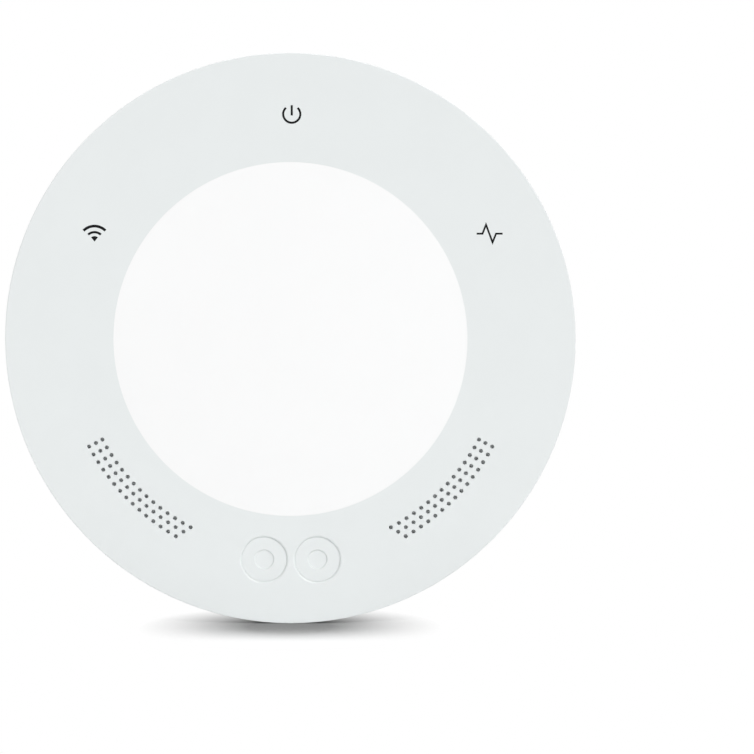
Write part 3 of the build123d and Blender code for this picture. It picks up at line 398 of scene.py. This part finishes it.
finishValues = {
    "shellGrey": {
        "colour": (0.810, 0.841, 0.841), "mottle": 0.006, "roughness": (0.40, 0.47),
        "bump": 0.12, "grainScale": 5200.0, "grainDepth": 0.006, "wear": 0.35, "edgeRadius": 0.08,
    },
    "capGrey": {
        "colour": (0.812, 0.843, 0.843), "mottle": 0.006, "roughness": (0.36, 0.43),
        "bump": 0.10, "grainScale": 5200.0, "grainDepth": 0.005, "wear": 0.4, "edgeRadius": 0.05,
    },
    "discWhite": {
        "colour": (0.965, 0.967, 0.967), "mottle": 0.003, "roughness": (0.20, 0.26),
        "bump": 0.05, "grainScale": 2600.0, "grainDepth": 0.004, "coat": 0.25, "wear": 0.2,
        "wearColour": (0.93, 0.93, 0.93),
    },
    "backWhite": {
        "colour": (0.86, 0.88, 0.88), "mottle": 0.012, "roughness": (0.50, 0.62),
        "bump": 0.45, "grainScale": 2600.0, "grainDepth": 0.02, "wear": 0.4, "edgeRadius": 0.15,
        "wearColour": (0.90, 0.91, 0.91),
    },
    "plateWhite": {
        "colour": (0.83, 0.85, 0.85), "mottle": 0.012, "roughness": (0.52, 0.64),
        "bump": 0.5, "grainScale": 2200.0, "grainDepth": 0.02, "wear": 0.4, "edgeRadius": 0.15,
        "wearColour": (0.89, 0.90, 0.90),
    },
    "symbolInk": {
        "colour": (0.006, 0.006, 0.007), "mottle": 0.15, "mottleScale": 1500.0,
        "roughness": (0.5, 0.65), "specular": 0.15, "bump": 0.2, "grainScale": 9000.0,
        "grainDepth": 0.003,
    },
    "screwSteel": {
        "colour": (0.60, 0.61, 0.62), "mottle": 0.06, "mottleScale": 500.0, "metallic": 1.0,
        "roughness": (0.24, 0.38), "bump": 0.25, "grainScale": 6000.0, "grainDepth": 0.004,
        "wear": 0.6, "wearColour": (0.78, 0.78, 0.78), "edgeRadius": 0.08,
    },
    "clearPlastic": {
        "colour": (0.93, 0.95, 0.95), "mottle": 0.01, "roughness": (0.06, 0.14), "ior": 1.49,
        "transmission": 1.0, "bump": 0.05, "grainDepth": 0.004, "edgeRadius": 0.1,
    },
    "ledWhite": {
        "colour": (0.95, 0.88, 0.62), "mottle": 0.05, "mottleScale": 2500.0,
        "roughness": (0.3, 0.5), "bump": 0.2, "grainDepth": 0.01, "edgeRadius": 0.05,
    },
    "foamBlack": {
        "colour": (0.035, 0.035, 0.036), "mottle": 0.25, "mottleScale": 1800.0,
        "roughness": (0.85, 0.98), "bump": 0.9, "grainScale": 3200.0, "grainDepth": 0.08,
    },
    "speakerBlack": {
        "colour": (0.045, 0.045, 0.047), "mottle": 0.1, "roughness": (0.42, 0.55),
        "bump": 0.3, "grainDepth": 0.01, "wear": 0.3, "wearColour": (0.09, 0.09, 0.09),
        "edgeRadius": 0.1,
    },
    "surroundBlack": {
        "colour": (0.03, 0.03, 0.031), "mottle": 0.2, "roughness": (0.55, 0.7),
        "bump": 0.3, "grainDepth": 0.01, "sheen": 0.1,
    },
    "conePaper": {
        "colour": (0.11, 0.11, 0.112), "mottle": 0.2, "mottleScale": 900.0,
        "roughness": (0.75, 0.92), "bump": 0.6, "grainScale": 2400.0, "grainDepth": 0.03,
        "stretch": (1.0, 1.0, 2.5),
    },
    "canSteel": {
        "colour": (0.62, 0.62, 0.60), "mottle": 0.05, "mottleScale": 300.0, "metallic": 1.0,
        "roughness": (0.26, 0.36), "bump": 0.2, "grainScale": 1500.0, "grainDepth": 0.006,
        "stretch": (1.0, 1.0, 14.0), "edgeRadius": 0.15,
    },
    "contactGold": {
        "colour": (0.83, 0.62, 0.28), "mottle": 0.05, "mottleScale": 900.0, "metallic": 1.0,
        "roughness": (0.22, 0.34), "bump": 0.15, "grainDepth": 0.004,
    },
    "relayBlue": {
        "colour": (0.05, 0.13, 0.34), "mottle": 0.05, "roughness": (0.32, 0.45),
        "bump": 0.25, "grainDepth": 0.01, "wear": 0.3, "wearColour": (0.12, 0.22, 0.45),
        "edgeRadius": 0.15,
    },
    "terminalGreen": {
        "colour": (0.02, 0.24, 0.09), "mottle": 0.05, "roughness": (0.38, 0.5),
        "bump": 0.25, "grainDepth": 0.01, "wear": 0.3, "wearColour": (0.08, 0.36, 0.17),
        "edgeRadius": 0.12,
    },
    "canAluminium": {
        "colour": (0.80, 0.80, 0.81), "mottle": 0.03, "mottleScale": 300.0, "metallic": 1.0,
        "roughness": (0.24, 0.34), "bump": 0.15, "grainScale": 1800.0, "grainDepth": 0.004,
        "stretch": (1.0, 8.0, 1.0), "edgeRadius": 0.3,
    },
    "ferriteGrey": {
        "colour": (0.06, 0.06, 0.065), "mottle": 0.2, "mottleScale": 700.0,
        "roughness": (0.55, 0.75), "bump": 0.5, "grainScale": 3000.0, "grainDepth": 0.03,
        "edgeRadius": 0.2,
    },
    "chipBlack": {
        "colour": (0.022, 0.022, 0.024), "mottle": 0.1, "mottleScale": 1200.0,
        "roughness": (0.5, 0.62), "bump": 0.5, "grainScale": 5200.0, "grainDepth": 0.015,
        "edgeRadius": 0.1,
    },
    "switchBlack": {
        "colour": (0.028, 0.028, 0.03), "mottle": 0.1, "roughness": (0.42, 0.55),
        "bump": 0.3, "grainDepth": 0.01, "edgeRadius": 0.1,
    },
    "stemWhite": {
        "colour": (0.75, 0.74, 0.70), "mottle": 0.03, "roughness": (0.4, 0.5),
        "bump": 0.2, "grainDepth": 0.008, "edgeRadius": 0.1,
    },
}

finishes = {name: mouldedFinish(name, values) for name, values in finishValues.items()}
finishes["grilleCloth"] = wovenFinish("grilleCloth", clothValues)
finishes["boardGreen"] = boardFinish("boardGreen", boardValues)

# which carried-over nodes get each finish
nodesByFinish = {
    "backWhite": ("rear_housing",),
    "plateWhite": ("wall_plate",),
    "stemWhite": ("switch_stem_left", "switch_stem_right", "reset_stem"),
    "switchBlack": ("button_switches", "reset_switch"),
    "boardGreen": ("main_board",),
    "screwSteel": ("housing_screws",),
    "clearPlastic": ("light_pipe_power", "light_pipe_radio", "light_pipe_activity"),
    "ledWhite": ("status_leds",),
    "grilleCloth": ("grille_cloth_left", "grille_cloth_right"),
    "foamBlack": ("speaker_gasket_left", "speaker_gasket_right"),
    "speakerBlack": ("speaker_frame_left", "speaker_frame_right"),
    "surroundBlack": ("speaker_surround_left", "speaker_surround_right"),
    "conePaper": ("speaker_cone_left", "speaker_cone_right"),
    "canSteel": (
        "speaker_magnet_left", "speaker_magnet_right", "processor_shield", "radio_module",
        "power_inlet",
    ),
    "contactGold": ("speaker_contacts", "sensor_antenna"),
    "relayBlue": ("relays",),
    "terminalGreen": ("gate_terminals", "sensor_terminals"),
    "canAluminium": ("storage_capacitors",),
    "ferriteGrey": ("power_inductor",),
    "chipBlack": ("control_chips",),
}


def dress(piece, finish):
    if not piece.material_slots:
        piece.data.materials.append(None)
    for slotPlace in piece.material_slots:
        slotPlace.material = finishes[finish]


for finish, nodeNames in nodesByFinish.items():
    for nodeName in nodeNames:
        dress(nodes[nodeName], finish)
print("finishes made:", len(finishes))


# What several pieces share
faceValues = {
    "frontHeight": 24.6,
    "buttonPlaces": {"left": (-5.86, -48.4), "right": (5.86, -48.4)},
    "objectRadius": 62.5,
}


# Front shell: the moulded ring, taken from its node, with its sound holes made round and eased
ringValues = {
    "frontHeight": faceValues["frontHeight"],
    "rowRadii": (46.8, 48.4, 50.1),
    "firstAngle": 208.0,
    "pitch": 1.98,
    "holesInRow": 15,
    "holeRadius": 0.445,
    "easedRadius": 0.50,
    "easedDepth": 0.07,
    "pinExcess": 0.4,
    "skinBack": 23.2,
    "holeSides": 16,
    "rimEdges": ((5.3, 24.6), (4.9, 24.2)),
    "rimReach": 0.02,
    "rimEase": 0.16,
    "rimSteps": 3,
    "outerRadius": faceValues["objectRadius"],
    "outerRound": 1.0,
    "outerReach": 0.05,
    "rimShare": 0.22,
    "smoothAngle": 30,
}


def soundHoleCutter(values):
    # a slightly flared pin, modelled once and copied to every hole
    clearSelection()
    length = values["frontHeight"] + values["pinExcess"] - values["skinBack"]
    bpy.ops.mesh.primitive_cylinder_add(
        vertices=values["holeSides"],
        radius=values["holeRadius"] * mm,
        depth=length * mm,
        location=(0, -(values["skinBack"] + length / 2) * mm, 0),
        rotation=(pi / 2, 0, 0),
    )
    pin = nameIt("soundHolePin")
    bpy.ops.object.transform_apply(location=True, rotation=True, scale=True)
    bpy.ops.object.mode_set(mode="EDIT")
    bpy.ops.mesh.select_all(action="SELECT")
    cutAt = values["frontHeight"] - values["easedDepth"]
    bpy.ops.mesh.bisect(plane_co=(0, -cutAt * mm, 0), plane_no=(0, 1, 0))
    bpy.ops.mesh.select_all(action="DESELECT")
    shape = bmesh.from_edit_mesh(pin.data)
    widening = values["easedRadius"] / values["holeRadius"] - 1
    flare = 1 + widening * (values["pinExcess"] + values["easedDepth"]) / values["easedDepth"]
    for v in shape.verts:
        if v.co.y < -(cutAt + hair) * mm:
            v.co.x *= flare
            v.co.z *= flare
    bmesh.update_edit_mesh(pin.data)
    bpy.ops.object.mode_set(mode="OBJECT")
    pins = []
    for radius in values["rowRadii"]:
        for index in range(values["holesInRow"]):
            angle = values["firstAngle"] + index * values["pitch"] / radius * 180 / pi
            x, z = ringPlace(radius, angle)
            for side in (x, -x):
                copy = pin.copy()
                copy.data = pin.data.copy()
                copy.location = (side * mm, 0, z * mm)
                bpy.context.scene.collection.objects.link(copy)
                pins.append(copy)
    bpy.data.objects.remove(pin)
    cutter = joinPieces(pins, "soundHolePins")
    bpy.ops.object.transform_apply(location=True, rotation=True, scale=True)
    return cutter


def tightenRim(piece, values):
    # the rounded outer edge is drawn closer to its corner, so that the face ends crisply
    radius, front = values["outerRadius"], values["frontHeight"]
    share = values["rimShare"]
    reach = values["outerRound"] + values["outerReach"]
    shape = bmesh.from_edit_mesh(piece.data)
    for v in shape.verts:
        across = sqrt(v.co.x**2 + v.co.z**2) / mm
        if across > radius - reach and -v.co.y / mm > front - reach:
            wanted = (radius - share * (radius - across)) / across
            v.co.x *= wanted
            v.co.z *= wanted
            v.co.y = -(front - share * (front + v.co.y / mm)) * mm
    bmesh.update_edit_mesh(piece.data)


def pickCircle(piece, centre, radius, height, reach):
    # edit mode: only the edges on a circle in front of the wall stay selected
    def onCircle(v):
        away = sqrt((v.x / mm - centre[0]) ** 2 + (v.z / mm - centre[1]) ** 2)
        return abs(away - radius) < reach and abs(v.y / mm + height) < reach

    pickEdges(piece, lambda a, b: onCircle(a) and onCircle(b))


def easeButtonRims(piece, values):
    # the slope round each button hole gets soft bends where it meets the face and the bore
    for centre in faceValues["buttonPlaces"].values():
        for radius, height in values["rimEdges"]:
            pickCircle(piece, centre, radius, height, values["rimReach"])
            bpy.ops.mesh.bevel(
                offset=values["rimEase"] * mm, segments=values["rimSteps"], affect="EDGES"
            )


def cutAway(piece, cutter):
    makeActive(piece)
    bpy.ops.object.modifier_add(type="BOOLEAN")
    cut = piece.modifiers[-1]
    cut.operation = "DIFFERENCE"
    cut.solver = "EXACT"
    cut.object = cutter
    bpy.ops.object.modifier_apply(modifier=cut.name)
    bpy.data.objects.remove(cutter)


ringShell = bpy.data.objects.new("ringShell", nodes["front_shell"].data.copy())
bpy.context.scene.collection.objects.link(ringShell)
makeActive(ringShell)
bpy.ops.mesh.customdata_custom_splitnormals_clear()
editAll(ringShell)
bpy.ops.mesh.remove_doubles(threshold=weldReach * mm)
tightenRim(ringShell, ringValues)
easeButtonRims(ringShell, ringValues)
bpy.ops.object.mode_set(mode="OBJECT")
cutAway(ringShell, soundHoleCutter(ringValues))
settle(ringShell, ringValues["smoothAngle"])
weighNormals(ringShell)
dress(ringShell, "shellGrey")
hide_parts("front_shell")
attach(ringShell, "hub")
print("ring made:", len(ringShell.data.polygons), "faces")


# Centre disc: a domed cap turned from its profile, with the six snap hooks behind it
discValues = {
    "radius": 38.78,
    "crownHeight": 26.0,
    "domeRadius": 536.4,
    "edgeRound": 0.05,
    "seatHeight": 22.7,
    "rimWidth": 2.0,
    "wall": 1.6,
    "domeSteps": 14,
    "edgeAngle": 88,
    "edgeSteps": 7,
    "turnSteps": 192,
    "lowerEase": 0.15,
    "hooks": 6,
    "hookCircle": 34.0,
    "hookThickness": 1.2,
    "hookWidth": 4.0,
    "hookRoot": 23.6,
    "hookEnd": 19.9,
    "barb": 0.8,
    "smoothAngle": 30,
}


def domeAt(radius, values):
    domeRadius = values["domeRadius"]
    return values["crownHeight"] - (domeRadius - sqrt(domeRadius**2 - radius**2))


def makeDiscHook(angle, values):
    # a leg with a barb on its outer side
    x, z = ringPlace(values["hookCircle"], angle)
    hook = addBox(
        "discHook",
        x,
        z,
        values["hookEnd"],
        values["hookRoot"],
        values["hookThickness"],
        values["hookWidth"],
        angle,
    )
    editAll(hook)
    barbY = -(values["hookEnd"] + values["barb"]) * mm
    bpy.ops.mesh.bisect(plane_co=(0, barbY, 0), plane_no=(0, 1, 0))
    outward = Vector((cos(radians(angle)), 0, sin(radians(angle))))
    pickFaces(hook, lambda centre, normal: normal.dot(outward) > alongWay and centre.y > barbY)
    bpy.ops.mesh.extrude_region_move(
        TRANSFORM_OT_translate={"value": outward * values["barb"] * mm}
    )
    bpy.ops.object.mode_set(mode="OBJECT")
    return hook


def makeDisc(values):
    radius, seat = values["radius"], values["seatHeight"]
    wall, bend, ease = values["wall"], values["edgeRound"], values["lowerEase"]
    edge = radius - bend
    inner = radius - values["rimWidth"]
    steps = values["domeSteps"]
    profile = [(edge * i / steps, domeAt(edge * i / steps, values)) for i in range(steps)]
    corner = domeAt(edge, values) - bend
    profile += arcPoints(edge, corner, bend, values["edgeAngle"], 0, values["edgeSteps"])
    profile += [(radius, seat + ease), (radius - ease, seat), (inner, seat)]
    profile += [(r, domeAt(r, values) - wall) for r in (inner, inner / 2, 0.0)]
    disc = turnProfile("centreDisc", profile, steps=values["turnSteps"])
    between = 360 / values["hooks"]
    hooks = [makeDiscHook(between * (i + 0.5), values) for i in range(values["hooks"])]
    return settle(joinPieces([disc] + hooks, "centreDisc"), values["smoothAngle"])


centreDisc = makeDisc(discValues)
weighNormals(centreDisc)
dress(centreDisc, "discWhite")
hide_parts("centre_disc")
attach(centreDisc, "hub")
print("disc made:", len(centreDisc.data.polygons), "faces")


# Push buttons: turned caps with an eased rim and a dished finger dimple, a post and two lugs
capValues = {
    "radius": 4.89,
    "frontHeight": 24.2,
    "rimRound": 0.05,
    "turnSteps": 96,
    "dimpleRadius": 2.1,
    "dimpleDepth": 0.3,
    "dimpleDish": ((0.0, 0.05), (0.35, 0.045), (0.65, 0.02)),
    "dimpleEase": 0.2,
    "dimpleEaseOut": 0.18,
    "dimpleBends": ((-90, -12), (168, 90)),
    "bendSteps": 5,
    "endHeight": 20.6,
    "wall": 1.2,
    "postSide": 2.2,
    "postEnd": 18.9,
    "postOverlap": 0.1,
    "lugWidth": 3.0,
    "lugReach": 6.4,
    "lugFront": 22.55,
    "lugRoot": 0.6,
    "smoothAngle": 35,
}


def makeCap(name, centre, values):
    front, radius, bend = values["frontHeight"], values["radius"], values["rimRound"]
    ease, lip, steps = values["dimpleEase"], values["dimpleRadius"], values["bendSteps"]
    floor = front - values["dimpleDepth"]
    rising, levelling = values["dimpleBends"]
    # the dimple's floor is dished a little, then rises through two soft bends to the face
    profile = [(lip * share, floor - dip) for share, dip in values["dimpleDish"]]
    profile += arcPoints(lip - ease, floor + ease, ease, *rising, steps)
    profile += arcPoints(lip + values["dimpleEaseOut"], front - ease, ease, *levelling, steps)
    profile += arcPoints(radius - bend, front - bend, bend, 90, 0)
    inner, roof, end = radius - values["wall"], front - values["wall"], values["endHeight"]
    profile += [(radius, end), (inner, end), (inner, roof), (0.0, roof)]
    cap = turnProfile(name, profile, centre, steps=values["turnSteps"])
    side = values["postSide"]
    postRoof = roof + values["postOverlap"]
    post = addBox("post", centre[0], centre[1], values["postEnd"], postRoof, side, side)
    # the lugs start inside the cap's wall and stand out above and below it
    root, reach, lugFront = inner + values["lugRoot"], values["lugReach"], values["lugFront"]
    lugs = [
        addBox(
            "lug",
            centre[0],
            centre[1] + way * (reach + root) / 2,
            lugFront - values["wall"],
            lugFront,
            values["lugWidth"],
            reach - root,
        )
        for way in (-1, 1)
    ]
    return settle(joinPieces([cap, post] + lugs, name), values["smoothAngle"])


for side, place in faceValues["buttonPlaces"].items():
    cap = makeCap(f"buttonCap-{side}", place, capValues)
    weighNormals(cap)
    dress(cap, "capGrey")
    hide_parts(f"button_{side}")
    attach(cap, f"{side}_button")
print("buttons made")


# Symbols printed on the ring: strokes drawn point by point and thickened in the plane
symbolValues = {
    "faceHeight": faceValues["frontHeight"],
    "inkHeight": 0.02,
    "power": {
        "centre": (0.36, 49.18), "radius": 1.87, "gap": 43.0, "stroke": 0.46,
        "bar": (1.95, -0.28), "steps": 44,
    },
    "radio": {
        "tip": (-42.80, 21.42), "arcs": ((3.38, 45.0, 0.59), (2.05, 42.5, 0.50)),
        "wedge": (1.18, 39.0), "arcSteps": 28, "wedgeSteps": 12,
    },
    "activity": {
        "line": (
            (40.74, 23.14), (42.02, 23.14), (42.78, 25.10),
            (44.22, 21.25), (44.99, 23.14), (46.42, 23.14),
        ),
        "stroke": 0.40,
    },
}


def drawOnFace(name, line, values):
    # the line lies on the ring's face, in edit mode and with all of it selected
    height = values["faceHeight"]
    piece = drawLine(name, [Vector((x * mm, -height * mm, z * mm)) for x, z in line])
    bpy.ops.mesh.select_all(action="SELECT")
    return piece


def liftInk(values):
    lift = Vector((0, -values["inkHeight"] * mm, 0))
    bpy.ops.mesh.extrude_region_move(TRANSFORM_OT_translate={"value": lift})


def inkStroke(name, line, width, values=symbolValues):
    piece = drawOnFace(name, line, values)
    liftInk(values)
    bpy.ops.object.mode_set(mode="OBJECT")
    makeActive(piece)
    bpy.ops.object.modifier_add(type="SOLIDIFY")
    wide = piece.modifiers[-1]
    wide.thickness = width * mm
    wide.offset = 0.0
    wide.use_even_offset = True
    applyModifiers(piece)
    editAll(piece)
    bpy.ops.mesh.normals_make_consistent(inside=False)
    bpy.ops.object.mode_set(mode="OBJECT")
    return piece


def inkWedge(name, line, values=symbolValues):
    piece = drawOnFace(name, line, values)
    bpy.ops.mesh.edge_face_add()
    liftInk(values)
    bpy.ops.mesh.select_all(action="SELECT")
    bpy.ops.mesh.normals_make_consistent(inside=False)
    bpy.ops.object.mode_set(mode="OBJECT")
    return piece


def makeSymbols(values):
    power = values["power"]
    gap = power["gap"]
    x, z = power["centre"]
    circle = arcPoints(x, z, power["radius"], 90 + gap, 450 - gap, power["steps"])
    bar = [(x, z + end) for end in power["bar"]]
    powerPieces = [
        inkStroke("powerArc", circle, power["stroke"]),
        inkStroke("powerBar", bar, power["stroke"]),
    ]
    radio = values["radio"]
    radioPieces = []
    for radius, half, stroke in radio["arcs"]:
        arc = arcPoints(*radio["tip"], radius, 90 - half, 90 + half, radio["arcSteps"])
        radioPieces.append(inkStroke("radioArc", arc, stroke))
    radius, half = radio["wedge"]
    fan = arcPoints(*radio["tip"], radius, 90 - half, 90 + half, radio["wedgeSteps"])
    radioPieces.append(inkWedge("radioWedge", [radio["tip"]] + fan))
    activity = values["activity"]
    pulse = inkStroke("activityLine", activity["line"], activity["stroke"])
    return [
        settle(joinPieces(powerPieces, "symbolPower")),
        settle(joinPieces(radioPieces, "symbolRadio")),
        settle(joinPieces([pulse], "symbolActivity")),
    ]


for symbol in makeSymbols(symbolValues):
    dress(symbol, "symbolInk")
    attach(symbol, "hub")
print("symbols printed")


# Terminal screws: a slotted cheese head in each well, seen through the wiring bay
terminalScrewValues = {
    "row": -19.0,
    "pitch": 3.5,
    "blocks": {"gate": (6, -18.8), "sensor": (4, 5.0)},
    "headRadius": 1.12,
    "headSides": 32,
    "headBack": 6.5,
    "headFront": 8.2,
    "headEase": 0.16,
    "easeSteps": 3,
    "slotWidth": 0.42,
    "slotDepth": 0.5,
    "slotExcess": 0.5,
    "turns": (-12.0, -71.0, 25.0, -40.0, -5.0, 60.0),
    "smoothAngle": 35,
}


def makeTerminalScrews(block, values):
    ways, firstX = values["blocks"][block]
    radius, back, row = values["headRadius"], values["headBack"], values["row"]
    depth = values["headFront"] - back
    screws = []
    for index in range(ways):
        x = firstX + values["pitch"] * (index + 0.5)
        clearSelection()
        bpy.ops.mesh.primitive_cylinder_add(
            vertices=values["headSides"],
            radius=radius * mm,
            depth=depth * mm,
            location=(x * mm, -(back + depth / 2) * mm, row * mm),
            rotation=(pi / 2, 0, 0),
        )
        head = nameIt("terminalScrew")
        bpy.ops.object.transform_apply(location=True, rotation=True, scale=True)
        bpy.ops.object.mode_set(mode="EDIT")
        pickCircle(head, (x, row), radius, back, hair)
        bpy.ops.mesh.bevel(
            offset=values["headEase"] * mm, segments=values["easeSteps"], affect="EDGES"
        )
        bpy.ops.object.mode_set(mode="OBJECT")
        blade = addBox(
            "blade",
            x,
            row,
            back - values["slotExcess"],
            back + values["slotDepth"],
            4 * radius,
            values["slotWidth"],
            values["turns"][index],
        )
        cutAway(head, blade)
        screws.append(head)
    return settle(joinPieces(screws, f"{block}TerminalScrews"), values["smoothAngle"])


for block in terminalScrewValues["blocks"]:
    screws = makeTerminalScrews(block, terminalScrewValues)
    dress(screws, "screwSteel")
    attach(screws, "hub")
print("terminal screws set")


# Floor, backdrop, lamps and camera
stageValues = {
    "floorHeight": -faceValues["objectRadius"] - hair,  # just under the object
    "floorSide": 30.0,
    "floorColour": (0.98, 0.98, 0.98),
    "floorRoughness": 0.9,
    "floorSpecular": 0.1,
    "contactPlace": (0.0, -30.0, 0.0),
    # the colour of the painted shadow on the floor at the object's foot
    "paintedShadowColour": (0.24, 0.24, 0.24),
    "contactReach": 30.0,
    "contactRange": (0.5, 0.9),
    "contactLean": (0.0, 1.0, 0.25),
    "whiteRange": (9.0, 33.0),
    "worldLight": 0.30,
    "lamps": {
        "keyLamp": {"from": (0.41, -0.58, 0.71), "spread": 15.0, "strength": 1.66},
        "fillLamp": {"from": (-0.6, -1.0, 0.1), "spread": 40.0, "strength": 0.18},
        "topLamp": {"from": (0.0, 0.2, 1.0), "spread": 40.0, "strength": 1.04},
    },
}

cameraValues = {
    "lens": 120.0,
    "sensorWidth": 36.0,
    "clip": (0.01, 60.0),
    "imageSide": 754.0,
    "centrePixel": (290.5, 339.5),
    "radiusPixels": 285.2,
    "objectRadius": faceValues["objectRadius"],
    "faceHeight": faceValues["frontHeight"],
    "elevation": 2.5,
}


def seenDirectly(tree):
    # one for rays from the camera, also by way of a gloss or through clear plastic
    path = tree.nodes.new("ShaderNodeLightPath")
    seen = path.outputs["Is Camera Ray"]
    for kind in ("Glossy", "Transmission"):
        either = tree.nodes.new("ShaderNodeMath")
        either.operation = "MAXIMUM"
        tree.links.new(seen, either.inputs[0])
        tree.links.new(path.outputs[f"Is {kind} Ray"], either.inputs[1])
        seen = either.outputs[0]
    return seen


def blendShaders(tree, factor, first, second):
    mix = tree.nodes.new("ShaderNodeMixShader")
    for output, socket in zip((factor, first, second), mix.inputs):
        tree.links.new(output, socket)
    return mix.outputs[0]


def makeFloor(values):
    # pale and matt: a painted shadow darkens it close to the object, and it is plain white to the
    # eye further away
    clearSelection()
    bpy.ops.mesh.primitive_plane_add(
        size=values["floorSide"], location=(0, 0, values["floorHeight"] * mm)
    )
    floor = nameIt("floor")
    material, tree, shader = newFinish("paleFloor")
    # nearness is measured towards the wall, so that the painted shadow lies in front of the
    # object
    lean = tree.nodes.new("ShaderNodeCombineXYZ")
    for socket, amount in zip(lean.inputs, values["contactLean"]):
        socket.default_value = amount
    nearness = tree.nodes.new("ShaderNodeAmbientOcclusion")
    nearness.inputs["Distance"].default_value = values["contactReach"] * mm
    tree.links.new(lean.outputs[0], nearness.inputs["Normal"])
    shade = spread(tree, nearness.outputs["AO"], 1.0, 0.0, *values["contactRange"])
    # the painted shadow is for the camera alone, so that the ring's gloss doesn't mirror it
    path = tree.nodes.new("ShaderNodeLightPath")
    shade = product(tree, shade, path.outputs["Is Camera Ray"])
    tone = mixColours(tree, shade, values["floorColour"], values["paintedShadowColour"])
    tree.links.new(tone, shader.inputs["Base Color"])
    shader.inputs["Roughness"].default_value = values["floorRoughness"]
    shader.inputs["Specular IOR Level"].default_value = values["floorSpecular"]

    away = tree.nodes.new("ShaderNodeVectorMath")
    away.operation = "DISTANCE"
    away.inputs[1].default_value = [c * mm for c in values["contactPlace"]]
    tree.links.new(objectPlace(tree), away.inputs[0])
    near, far = values["whiteRange"]
    whiteness = spread(tree, away.outputs["Value"], 0.0, 1.0, near * mm, far * mm)
    white = tree.nodes.new("ShaderNodeEmission")
    whiteness = product(tree, whiteness, seenDirectly(tree))
    above = blendShaders(tree, whiteness, shader.outputs[0], white.outputs[0])

    # from below the floor is clear, so that the object's underside can be looked at
    side = tree.nodes.new("ShaderNodeNewGeometry")
    clear = tree.nodes.new("ShaderNodeBsdfTransparent")
    oneSided = blendShaders(tree, side.outputs["Backfacing"], above, clear.outputs[0])
    output = [n for n in tree.nodes if n.type == "OUTPUT_MATERIAL"][0]
    tree.links.new(oneSided, output.inputs["Surface"])
    floor.data.materials.append(material)


def makeBackdrop(values):
    # white to the eye, and a weaker light to every surface
    world = bpy.context.scene.world or bpy.data.worlds.new("studio")
    bpy.context.scene.world = world
    world.use_nodes = True
    tree = world.node_tree
    tree.nodes.clear()
    output = tree.nodes.new("ShaderNodeOutputWorld")
    plain = tree.nodes.new("ShaderNodeBackground")
    plain.inputs["Strength"].default_value = values["worldLight"]
    white = tree.nodes.new("ShaderNodeBackground")
    white.inputs["Strength"].default_value = 1.0
    for background in (plain, white):
        background.inputs["Color"].default_value = (1, 1, 1, 1)
    backdrop = blendShaders(tree, seenDirectly(tree), plain.outputs[0], white.outputs[0])
    tree.links.new(backdrop, output.inputs["Surface"])


def makeLamps(values):
    for name, lamp in values["lamps"].items():
        towards = Vector(lamp["from"])
        bpy.ops.object.light_add(type="SUN", location=towards)
        light = bpy.context.object
        light.name = name
        light.data.angle = radians(lamp["spread"])
        light.data.energy = lamp["strength"]
        light.rotation_euler = (-towards).to_track_quat("-Z", "Y").to_euler()


def makeCamera(values):
    perPixel = values["objectRadius"] * mm / values["radiusPixels"]
    width = perPixel * values["imageSide"]
    distance = width * values["lens"] / values["sensorWidth"]
    half = values["imageSide"] / 2
    x = (half - values["centrePixel"][0]) * perPixel
    z = (values["centrePixel"][1] - half) * perPixel
    tilt = radians(values["elevation"])
    aim = Vector((x, -values["faceHeight"] * mm, z))
    away = Vector((0, -cos(tilt), sin(tilt)))
    bpy.ops.object.camera_add(location=aim + away * distance)
    camera = bpy.context.object
    camera.name = "studioCamera"
    camera.rotation_euler = (-away).to_track_quat("-Z", "Y").to_euler()
    camera.data.lens = values["lens"]
    camera.data.sensor_width = values["sensorWidth"]
    camera.data.clip_start, camera.data.clip_end = values["clip"]
    bpy.context.scene.camera = camera


makeFloor(stageValues)
makeBackdrop(stageValues)
makeLamps(stageValues)
makeCamera(cameraValues)
bpy.context.scene.view_settings.view_transform = "Standard"
print("stage set")

clearSelection()
